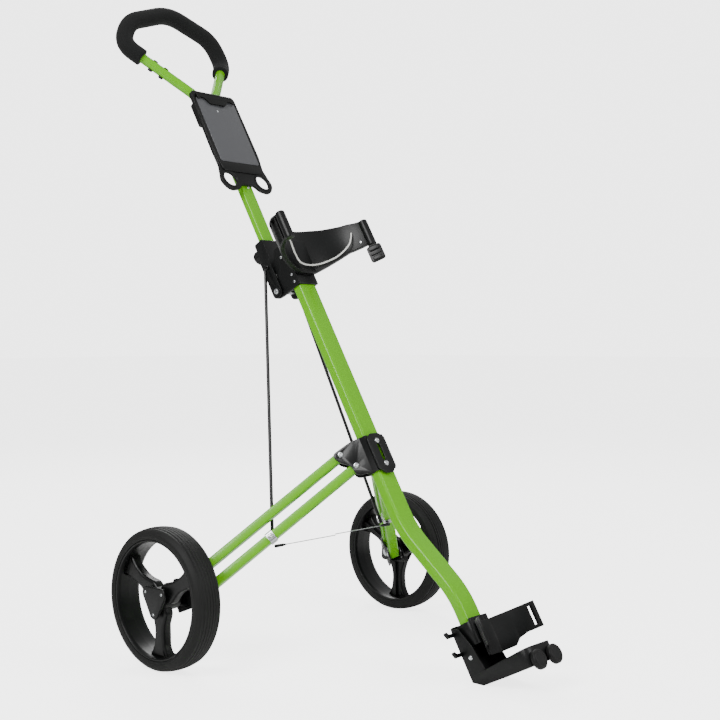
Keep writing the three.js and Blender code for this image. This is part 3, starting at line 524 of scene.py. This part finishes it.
for tag, share in (("lower", 0.1735), ("upper", 0.205)):
    here, ahead = resampled(loop, share, share + 0.004, 1)
    tangent = (ahead - here).normalized()
    upright = Vector((0, 0, 1)) - tangent * tangent.z
    seat = placed(here, tangent, upright.cross(tangent))
    bush = filleted([(1.7, 5, 0), (1.7, 10.9, 0.3), (4.8, 10.9, 0.5), (5, 9.2, 0.3), (3.1, 9, 0.2),
                     (3.1, -9, 0.2), (5, -9.2, 0.4), (4.6, -12.6, 1.4), (0, -13, 0)],
                    closed=False)
    piece(f"tee_holder_{tag}_bush", [lathe(bush, seat, 28)], "handle", nylon,
          [f"tee_holder_{tag}"])

# ---- scorecard holder ------------------------------------------------------------------------
CARD = on_shaft(0, 26, 0)
card_outline = filleted([(-52, 558, 8), (-58, 600, 30), (-56, 740, 10), (-50, 746, 5),
                         (50, 746, 5), (56, 740, 10), (58, 600, 30), (52, 558, 8)])
window = rectangle(100, 152, 5, y=655)
RING_X, RING_ALONG, RING_HOLE, RING_COLLAR = 41.5, 541, 15.5, 19.5
ring_holes = [[(side * RING_X + x, y + RING_ALONG) for x, y in ring(RING_HOLE, 48)]
              for side in (-1, 1)]
lobes = filleted([(-58, 600, 8), (-57, 572, 30), (-62, 552, 20), (-67, 536, 24), (-52, 514, 22),
                  (-26, 520, 20), (-15, 531, 12), (15, 531, 12), (26, 520, 20), (52, 514, 22),
                  (67, 536, 24), (62, 552, 20), (57, 572, 30), (58, 600, 8)])
holder = [plate(card_outline, -8.6, -2.6, CARD, 1, [rectangle(60, 90, 4, y=660)]),
          plate(card_outline, -2.9, 0, CARD, 1.1, [window]),
          plate(lobes, -8.6, -2.4, CARD, 1.6, ring_holes)]
for side, hole in zip((-1, 1), ring_holes):
    collar = [(side * RING_X + x, y + RING_ALONG) for x, y in ring(RING_COLLAR, 48)]
    holder.append(plate(collar, -3.2, -1.4, CARD, 0.8, [hole]))
for x in (-30, 0, 30):
    holder.append(plate(rectangle(12, 6, 2, x=x, y=571), -3.2, -1.2, CARD, 0.7))
holder.append(plate(rectangle(96, 2.4, 1, y=562), -3.2, -1.6, CARD, 0.5))
piece("card_holder_frame", holder, "handle", nylon, ["card_holder"])
piece("card_panel_smoked", [plate(rectangle(98.6, 150.6, 5, y=655), -4.5, 0.3, CARD, 0.5)],
      "handle", smoked, ["card_panel"])
clip_outline = filleted([(-47, 722, 4), (-47, 739, 4), (47, 739, 4), (47, 722, 4), (40, 729, 5),
                         (30, 728, 6), (20, 716, 8), (-20, 716, 8), (-30, 728, 6),
                         (-40, 729, 5)])
clip = [plate(clip_outline, 1.2, 4.4, CARD, 0.7), plate(rectangle(92, 5, 1.5, y=736), -0.2, 3,
                                                       CARD, 0.4)]
clip.append(sweep(ring(2.2, 16), [shaft(-45, 22.6, 738), shaft(45, 22.6, 738)], BACK))
piece("card_clip_spring", clip, "handle", nylon, ["card_clip"])
heads, recess_shade_bars = [], []
for along, depth in ((703, 0.2), (524, -2.6)):
    head, cross = screw(CARD @ Matrix.Translation((-3.5 * MM, along * MM, depth * MM)), 2.6, 1.1)
    heads.append(head)
    recess_shade_bars += cross
piece("card_holder_screws", heads, "handle", zinc)
# Black bars on the screw heads: painted shade of the cross recesses.
piece("card_holder_screw_recess_painted_shade", recess_shade_bars, "handle", powder_and_recess_shade)

piece("loop_clamp_block", [
    plate(rectangle(78, 25, 8, 6), 684, 733, on_shaft(0, 47.6, 0, "up"), 1.4,
          [rectangle(30.8, 14.8, 4, y=-5.6)] + [
              [(side * 25.5 + x, y - 1.1) for x, y in ring(10.3, 32)] for side in (-1, 1)])],
    "handle", nylon, ["loop_clamp"])

# ---- fold joint ------------------------------------------------------------------------------
piece("fold_bracket_body", [refined("fold_bracket", 0.9)], "frame", nylon,
      ["fold_bracket"])
piece("fold_yoke_body", [refined("fold_yoke", 1.1)], "handle", nylon,
      ["fold_yoke"])
pin_heads = []
for sign in (-1, 1):
    seat = on_shaft(sign * 28.4, PIVOT_BACK, PIVOT_ALONG, "left" if sign < 0 else "right")
    pin_heads.append(rivet_head(seat, 5.6, 3.2))
pin_heads.append(sweep(ring(5, 24), [shaft(-29, PIVOT_BACK, PIVOT_ALONG),
                                    shaft(29, PIVOT_BACK, PIVOT_ALONG)], BACK))
bosses = [lathe(filleted([(5, 0, 0), (9, 0, 0.6), (9, -2, 0), (5, -2, 0)], False),
                on_shaft(sign * 29.3, PIVOT_BACK, PIVOT_ALONG,
                         "left" if sign < 0 else "right"), 40)
          for sign in (-1, 1)]
piece("fold_pivot_washers", bosses, "frame", powder_and_recess_shade)
piece("fold_pivot_rivet", pin_heads, "frame", zinc, ["fold_pivot_pin"])
heads, recess_shade_bars = [], []
for sign in (-1, 1):
    for back, along in ((-3.4, 308.5), (-3.5, 293.9), (4.4, 350.4)):
        seat = on_shaft(sign * 24.5, back, along, "left" if sign < 0 else "right")
        head, cross = screw(seat, 2.7, 1.3)
        heads.append(head)
        recess_shade_bars += cross
piece("sleeve_screws", heads, "frame", zinc)
# Black bars on the screw heads: painted shade of the cross recesses.
piece("sleeve_screw_recess_painted_shade", recess_shade_bars, "frame", powder_and_recess_shade)

STUD_ALONG = 352
for tag, sign in SIDES:
    seat = on_shaft(sign * 28.3, PIVOT_BACK, STUD_ALONG, "left" if sign < 0 else "right")
    stud = filleted([(0, 0, 0), (4.6, 0, 0), (4.6, 1.4, 0.4), (2.6, 2.2, 0.3), (2.6, 5.2, 0.2),
                     (4, 5.2, 0.3), (4, 6.6, 0.7), (0, 6.8, 0)], closed=False)
    piece(f"rod_stud_{tag}_turned", [lathe(stud, seat, 24)], "handle", powder_and_recess_shade,
          [f"rod_stud_{tag}"])

knob_profile = filleted([(0, 0, 0), (14, 0, 1), (14, 19, 2), (12.4, 23, 4), (8, 25.9, 6),
                         (0, 26.6, 0)], closed=False)
knob_seat = placed(shaft(0, 54.3, 393), SIDE, BACK.cross(SIDE))


def flutes(turn, height):
    depth = max(0.0, min(1.0, (18.5 - height) / 3)) * max(0.0, min(1.0, (height - 1.5) / 2))
    return -1.5 * depth * max(0.0, math.cos(8 * turn)) ** 3


knob_profile = [(r, h) for r, h in knob_profile if h < 2 or h > 18]
shank = [(14, h) for h in range(3, 18)]
split = next(i for i, (_, h) in enumerate(knob_profile) if h > 10)
knob_profile = knob_profile[:split] + shank + knob_profile[split:]
piece("lock_knob_fluted", [lathe(knob_profile, knob_seat, 96, flutes)], "lock_knob", nylon,
      ["lock_knob"])

# ---- upper bag cradle ------------------------------------------------------------------------
CRADLE_RADIUS, CRADLE_ARM, CRADLE_CENTRE = 108, 9, -130.85
REACH = 75
CRADLE_SCREW_ANGLE, CRADLE_SCREW_ALONG = 66, 333
LOW_EDGE = ((0, 302), (20, 302), (85, 325), (130, 320))
HIGH_EDGE = ((0, 392), (40, 391), (74, 385), (94, 379), (104, 371), (130, 370))


def along_edge(edge, x):
    for (x0, z0), (x1, z1) in zip(edge, edge[1:]):
        if abs(x) <= x1:
            return z0 + (z1 - z0) * (abs(x) - x0) / (x1 - x0)


def cradle_heights(x):
    return along_edge(LOW_EDGE, x), along_edge(HIGH_EDGE, x)


def cradle_arms():
    """A curved channel: a smooth face towards the bag and flanges above and below; the ribs behind
    are added after it.
    """
    vertices, faces, rows = [], [], []
    steps = 60
    for step in range(steps + 1):
        turn = math.radians(90 - REACH + 2 * REACH * step / steps)
        x_unit, y_unit = math.cos(turn), math.sin(turn)
        low, high = cradle_heights(CRADLE_RADIUS * x_unit)
        r, thick = CRADLE_RADIUS, 3.2
        section = filleted([(r, low, 1), (r, high, 1.2), (r + CRADLE_ARM, high, 0.8),
                            (r + CRADLE_ARM, high - 3, 0.8), (r + thick, high - 4, 2),
                            (r + thick, low + 4, 2), (r + CRADLE_ARM, low + 3, 0.8),
                            (r + CRADLE_ARM, low, 0.8)], steps=3)
        rows.append(list(range(len(vertices), len(vertices) + len(section))))
        for radius, along in section:
            point = shaft(radius * x_unit, CRADLE_CENTRE + radius * y_unit, along)
            vertices.append(point / MM)
    count = len(rows[0])
    for low, high in zip(rows, rows[1:]):
        faces += [[low[i], low[(i + 1) % count], high[(i + 1) % count], high[i]]
                  for i in range(count)]
    faces += [rows[0][::-1], rows[-1]]
    return shell(vertices, faces)


cradle = [cradle_arms()]
for angle in (-67, -54, -41, -28, 28, 41, 54, 67):
    turn = math.radians(90 + angle)
    x_unit, y_unit = math.cos(turn), math.sin(turn)
    low, high = cradle_heights(CRADLE_RADIUS * x_unit)
    out = SIDE * x_unit + BACK * y_unit
    spot = shaft((CRADLE_RADIUS + 5.5) * x_unit, CRADLE_CENTRE + (CRADLE_RADIUS + 5.5) * y_unit,
                 0)
    rib = rectangle(7.4, high - low - 3, 0.5, 2, y=(high + low) / 2)
    cradle.append(plate(rib, -1.1, 1.1, placed(spot, out, ALONG), 0.4))
for sign in (-1, 1):
    turn = math.radians(90 - sign * REACH)
    radius = CRADLE_RADIUS + CRADLE_ARM / 2
    post = filleted([(0, 0, 0), (8.5, 0, 1.5), (8.5, 53, 3), (0, 53.4, 0)], closed=False)
    seat = on_shaft(radius * math.cos(turn), CRADLE_CENTRE + radius * math.sin(turn), 318, "up")
    cradle.append(lathe(post, seat, 40))
cradle.append(plate(rectangle(42, 68, 4, y=337), 13.9, 24.5, on_shaft(0, 0, 0), 1.2))
piece("bag_cradle_moulded", cradle, "frame", nylon, ["bag_cradle"])
heads, recess_shade_bars = [], []
for sign in (-1, 1):
    turn = math.radians(90 - sign * CRADLE_SCREW_ANGLE)
    spot = shaft((CRADLE_RADIUS - 0.2) * math.cos(turn),
                 CRADLE_CENTRE + (CRADLE_RADIUS - 0.2) * math.sin(turn), CRADLE_SCREW_ALONG)
    out = SIDE * math.cos(turn) + BACK * math.sin(turn)
    seat = placed(spot, ALONG, ALONG.cross(out))
    head, cross = screw(seat, 2.6, 1.1)
    heads.append(head)
    recess_shade_bars += cross
piece("cradle_screws", heads, "frame", zinc)
# Black bars on the screw heads: painted shade of the cross recesses.
piece("cradle_screw_recess_painted_shade", recess_shade_bars, "frame", powder_and_recess_shade)

cord_points = [(92, -79.5, 357), (86, -78.5, 346), (76, -73, 332), (56, -56, 319), (28, -37, 314),
               (0, -31, 313)]
cord_points += [(-x, back, along) for x, back, along in cord_points[-2::-1]]


def smooth_path(points, steps=8):
    """A Catmull-Rom line through shaft points, in metres."""
    line = [shaft(*p) for p in points]
    line = [line[0] * 2 - line[1]] + line + [line[-1] * 2 - line[-2]]
    made = []
    for a, b, c, d in zip(line, line[1:], line[2:], line[3:]):
        for step in range(steps):
            t = step / steps
            made.append(0.5 * (2 * b + (c - a) * t + (2 * a - 5 * b + 4 * c - d) * t * t
                               + (3 * b - 3 * c + d - a) * t ** 3))
    return made + [line[-2]]


piece("cradle_elastic_cord", [sweep(ring(1.5, 14), smooth_path(cord_points), ALONG)], "frame",
      woven, ["cradle_cord"])
buckle_seat = placed(shaft(107, -103, 300), SIDE * 0.55 - BACK * 0.83, ALONG)
piece("strap_buckle_moulded", [
    plate(rectangle(28, 32, 5), -4, 3, buckle_seat, 1.4),
    plate(rectangle(21, 9, 3, y=9.5), -6, 6, buckle_seat, 1.2),
    plate(rectangle(21, 3.4, 1.5, y=-2), 1, 5.4, buckle_seat, 0.8),
    plate(rectangle(17, 8, 3, y=-10.5), -5.4, 5.6, buckle_seat, 1.2)],
    "frame", nylon, ["strap_buckle"])

# ---- leg bracket -----------------------------------------------------------------------------
piece("leg_bracket_pressed", [refined("leg_bracket", 0.5)], "frame", powder_and_recess_shade,
      ["leg_bracket"])
front = on_shaft(0, -13.35, 0)
front_outline = filleted([(-23, -32, 5), (-17, -28, 5), (-11, -24, 7), (11, -24, 7), (17, -28, 5),
                          (23, -32, 5), (23, -90, 5), (16, -94, 6), (10, -100, 8), (-10, -100, 8),
                          (-16, -94, 6), (-23, -90, 5)])
slot_outline = filleted([(-4, -44, 4), (4, -44, 4), (4, -76, 4), (-4, -76, 4)])
piece("bracket_front_plate_pressed", [plate(front_outline, 0, 3.05, front, 0.9, [slot_outline])],
      "frame", powder_and_recess_shade, ["bracket_front_plate"])
for tag, along in (("upper", -38.5), ("lower", -82)):
    piece(f"front_rivet_{tag}_domed", [rivet_head(on_shaft(0, -16.6, along), 4.8, 2.3)], "frame",
          zinc, [f"front_rivet_{tag}"])

# ---- base ------------------------------------------------------------------------------------
piece("base_socket_moulded", [refined("base_socket", 0.6)], "frame", nylon,
      ["base_socket"])
piece("base_foot_moulded", [refined("base_foot", 1.0)], "frame", nylon,
      ["base_foot"])
piece("base_cradle_wings", [refined("base_cradle", 0.7)], "frame", nylon,
      ["base_cradle"])
for tag in ("upper", "lower"):
    piece(f"strap_hook_{tag}_moulded", [refined(f"strap_hook_{tag}", 0.5)], "frame", nylon,
          [f"strap_hook_{tag}"])
for tag, sign in SIDES:
    pad = filleted([(0, 0, 0), (14.8, 0, 1), (16, 1.5, 1), (16, 7, 1.8), (13.4, 9.5, 1.6),
                    (10.4, 9.5, 0.6), (9.6, 8.6, 0.6), (0, 8.6, 0)], closed=False)
    seat = on_shaft(sign * 22, -156.4, -488)
    piece(f"base_pad_{tag}_disc", [lathe(pad, seat, 48)], "frame", pad_rubber,
          [f"base_pad_{tag}"])
cheek = filleted([(-29.5, -388, 3), (-44, -392, 6), (-58, -428, 14), (-64, -470, 5),
                  (-29.5, -480, 3)])
piece("base_side_cheeks", [plate(cheek, 0, 2.6, placed(shaft(x, 0, 0), BACK, ALONG), 0.7)
                           for x in (-33.2, 30.6)], "frame", nylon)
piece("base_rivets", [rivet_head(on_shaft(-33.2, -46, -442, "left"), 4, 1.8),
                      rivet_head(on_shaft(33.2, -46, -442, "right"), 4, 1.8)], "frame", zinc)

# ---- legs, rods, cables and wheels -----------------------------------------------------------
LEG_TIP = {"lower": 340, "upper": 337}
TYRE_RADIUS = 120
leg_section, leg_hollow = rectangle(19, 16, 3, 6), rectangle(15.8, 12.8, 1.8, 6)
for tag, sign in SIDES:
    across = -joint_axis(f"leg_lower_{tag}_fold")
    lower, upper = joint_at(f"leg_lower_{tag}_fold"), joint_at(f"leg_upper_{tag}_fold")
    lower_end = joint_at(f"carrier_{tag}_tilt")
    down = (lower_end - lower).normalized()
    for which, root in (("lower", lower), ("upper", upper)):
        ends = [root - down * 8 * MM, root + down * LEG_TIP[which] * MM]
        piece(f"leg_{which}_{tag}_tube", [sweep(leg_section, ends, across, leg_hollow)],
              f"leg_{which}_{tag}", enamel, [f"leg_{which}_{tag}"])
        outer = -across if sign < 0 else across
        for facing in (outer, -outer):
            seat = placed(root + facing * 12.75 * MM, ALONG, facing.cross(ALONG))
            body = rivet_head(seat, 5.2, 2.6)
            name = f"leg_pin_{which}_{tag}"
            if facing is outer:
                shank_path = [root - facing * 12.6 * MM, root + facing * 12.6 * MM]
                parts = [body, sweep(ring(3, 20), shank_path, ALONG)]
            else:
                parts.append(body)
        piece(f"{name}_rivet", parts, "frame", zinc, [name])
    inward = across if sign < 0 else -across
    clip_at = lower + down * 190 * MM
    foot = joint_at(f"push_rod_{tag}_swing")
    band_path = [clip_at - down * 6.5 * MM, clip_at + down * 6.5 * MM]
    band = sweep(rectangle(22.6, 19.6, 4, 6), band_path, across, rectangle(19.7, 16.7, 3.2, 6))
    stud = sweep(ring(2.6, 20), [clip_at + inward * 10.5 * MM, clip_at + inward * 19.5 * MM], down)
    cap = rivet_head(placed(clip_at + inward * 19.4 * MM, down, inward.cross(down)), 4.4, 1.8)
    outside = rivet_head(placed(clip_at - inward * 11.2 * MM, down, (-inward).cross(down)), 5, 2)
    piece(f"rod_clip_{tag}_band", [band, stud, cap, outside], f"leg_lower_{tag}", zinc,
          [f"rod_clip_{tag}"])
    head = shaft(sign * 32, PIVOT_BACK, STUD_ALONG)
    line = (head - foot).normalized()
    rod = [sweep(ring(3, 24), [foot + line * 4 * MM, head - line * 7 * MM], inward)]
    eye = [(6, -3.2), (6.2, 0), (6, 3.2), (2.96, 3.2), (2.96, -3.2), (6, -3.2)]
    rod.append(lathe(eye, placed(foot, line, inward.cross(line)), 32))
    piece(f"push_rod_{tag}_painted", rod, f"push_rod_{tag}", powder_and_recess_shade,
          [f"push_rod_{tag}"])

    start = joint_at(f"cable_{tag}_slack")
    middle = Vector((sign * 1.5 * MM, start.y, start.z))
    toward = (middle - start).normalized()
    piece(f"spreader_cable_{tag}_wire", [sweep(ring(0.8, 12), [start, middle], ALONG)],
          f"cable_{tag}", strand, [f"spreader_cable_{tag}"])
    sleeve = filleted([(0, 0, 0), (2.9, 0, 0.8), (2.5, 18, 1), (1.3, 26, 0.4), (0, 26, 0)],
                      closed=False)
    piece(f"spreader_cable_{tag}_sleeve",
          [lathe(sleeve, placed(start, ALONG, toward.cross(ALONG)), 20)], f"cable_{tag}", nylon)

    piece(f"wheel_carrier_{tag}_pressed", [refined(f"wheel_carrier_{tag}", 0.5)],
          f"carrier_{tag}", powder_and_recess_shade, [f"wheel_carrier_{tag}"])
    upper_end = upper + down * 332 * MM
    for name, spot, body in ((f"carrier_pin_{tag}", lower_end, f"leg_lower_{tag}"),
                             (f"carrier_upper_rivet_{tag}", upper_end, f"carrier_{tag}")):
        parts = [sweep(ring(2.9, 20), [spot - across * 12.8 * MM, spot + across * 12.8 * MM], ALONG)]
        for facing in (across, -across):
            seat = placed(spot + facing * 12.8 * MM, ALONG, facing.cross(ALONG))
            parts.append(rivet_head(seat, 4.8, 2))
        stands = [name] if name.startswith("carrier_pin") else []
        piece(f"{name}_domed", parts, body, zinc, stands)

    hub = joint_at(f"wheel_{tag}_spin")
    wheel = placed(hub, Vector((0, 0, 1)), Vector((0, -sign, 0)))
    axle_profile = filleted([(0, -37.5, 0), (9, -37.5, 0.8), (9, -33.4, 0.8), (6, -33.4, 0),
                             (6, 21, 0.6), (0, 21, 0)], closed=False)
    piece(f"axle_{tag}_turned", [lathe(axle_profile, wheel, 32)], f"carrier_{tag}", zinc,
          [f"axle_{tag}"])
    tread = []
    for number in range(-3, 4):
        middle_at = number * 5.6
        crown = TYRE_RADIUS - 3 * (middle_at / 20) ** 2
        tread += [(crown, middle_at - 2.2, 0.5), (crown, middle_at + 2.2, 0.5)]
        if number < 3:
            tread += [(crown - 0.8, middle_at + 2.6, 0.2), (crown - 0.8, middle_at + 3.1, 0.2)]
    flank = [(115.5, 22, 4), (111, 25.6, 4), (105.5, 26.5, 2), (104.4, 25.4, 0.6),
             (102.8, 25.4, 0.6), (101.1, 24.6, 0.5)]
    profile = [(r, -h, c) for r, h, c in flank[::-1]] + tread + flank + [(101.1, -24.6, 0)]
    piece(f"tyre_{tag}_grooved", [lathe(filleted(profile, False, 4), wheel, 144)],
          f"wheel_{tag}", tread_rubber, [f"tyre_{tag}"])
    barrel = filleted([(100.6, -24, 0.8), (100.6, 24, 0.8), (97.4, 24.2, 1.4), (95.4, 18, 5),
                       (94.6, 0, 20), (95.4, -18, 4), (97.4, -24, 1.2), (100.6, -24, 0)], False, 5)
    parts = [lathe(barrel, wheel, 128)]
    hub_profile = filleted([(6.35, -21, 0), (20, -21, 1.5), (21, -4, 6), (20.5, 12, 3),
                            (19, 19, 2), (6.35, 19, 0)], False, 5)
    parts.append(lathe(hub_profile, wheel, 64))
    blade = filleted([(-22, 97, 2), (22, 97, 2), (13, 76, 26), (10, 50, 60), (19, 24, 16),
                      (14, 8, 3), (-14, 8, 3), (-19, 24, 16), (-10, 50, 60), (-13, 76, 26)],
                     steps=8)
    for number in range(3):
        spoke = wheel @ Matrix.Rotation(math.radians(90 + 120 * number), 4, "Z")
        parts.append(plate(blade, -6, 13, spoke, 5, steps=6))
        ridge = filleted([(-4, 94, 1), (4, 94, 1), (2.6, 24, 1), (-2.6, 24, 1)])
        parts.append(plate(ridge, -12, -4, spoke, 1.2))
    piece(f"rim_{tag}_three_spoke", parts, f"wheel_{tag}", nylon, [f"rim_{tag}"])
    corners = [(43 * math.cos(math.radians(60 + 120 * i)), 43 * math.sin(
        math.radians(60 + 120 * i)), 11) for i in range(3)]
    cap = [plate(filleted(corners, steps=10), 18.4, 23.6, wheel, 1.8, steps=4)]
    piece(f"hub_cap_{tag}_triangular", cap, f"wheel_{tag}", nylon,
          [f"hub_cap_{tag}"])
    heads, recess_shade_bars = [], []
    for number in range(3):
        turn = math.radians(60 + 120 * number)
        seat = wheel @ Matrix.Translation((24 * MM * math.cos(turn), 24 * MM * math.sin(turn),
                                           23.5 * MM))
        made, cross = screw(seat, 2.4, 1)
        heads.append(made)
        recess_shade_bars += cross
    piece(f"hub_screws_{tag}", heads, f"wheel_{tag}", zinc)
    # Black bars on the screw heads: painted shade of the cross recesses.
    piece(f"hub_screw_recess_painted_shade_{tag}", recess_shade_bars, f"wheel_{tag}", powder_and_recess_shade)

low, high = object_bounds()
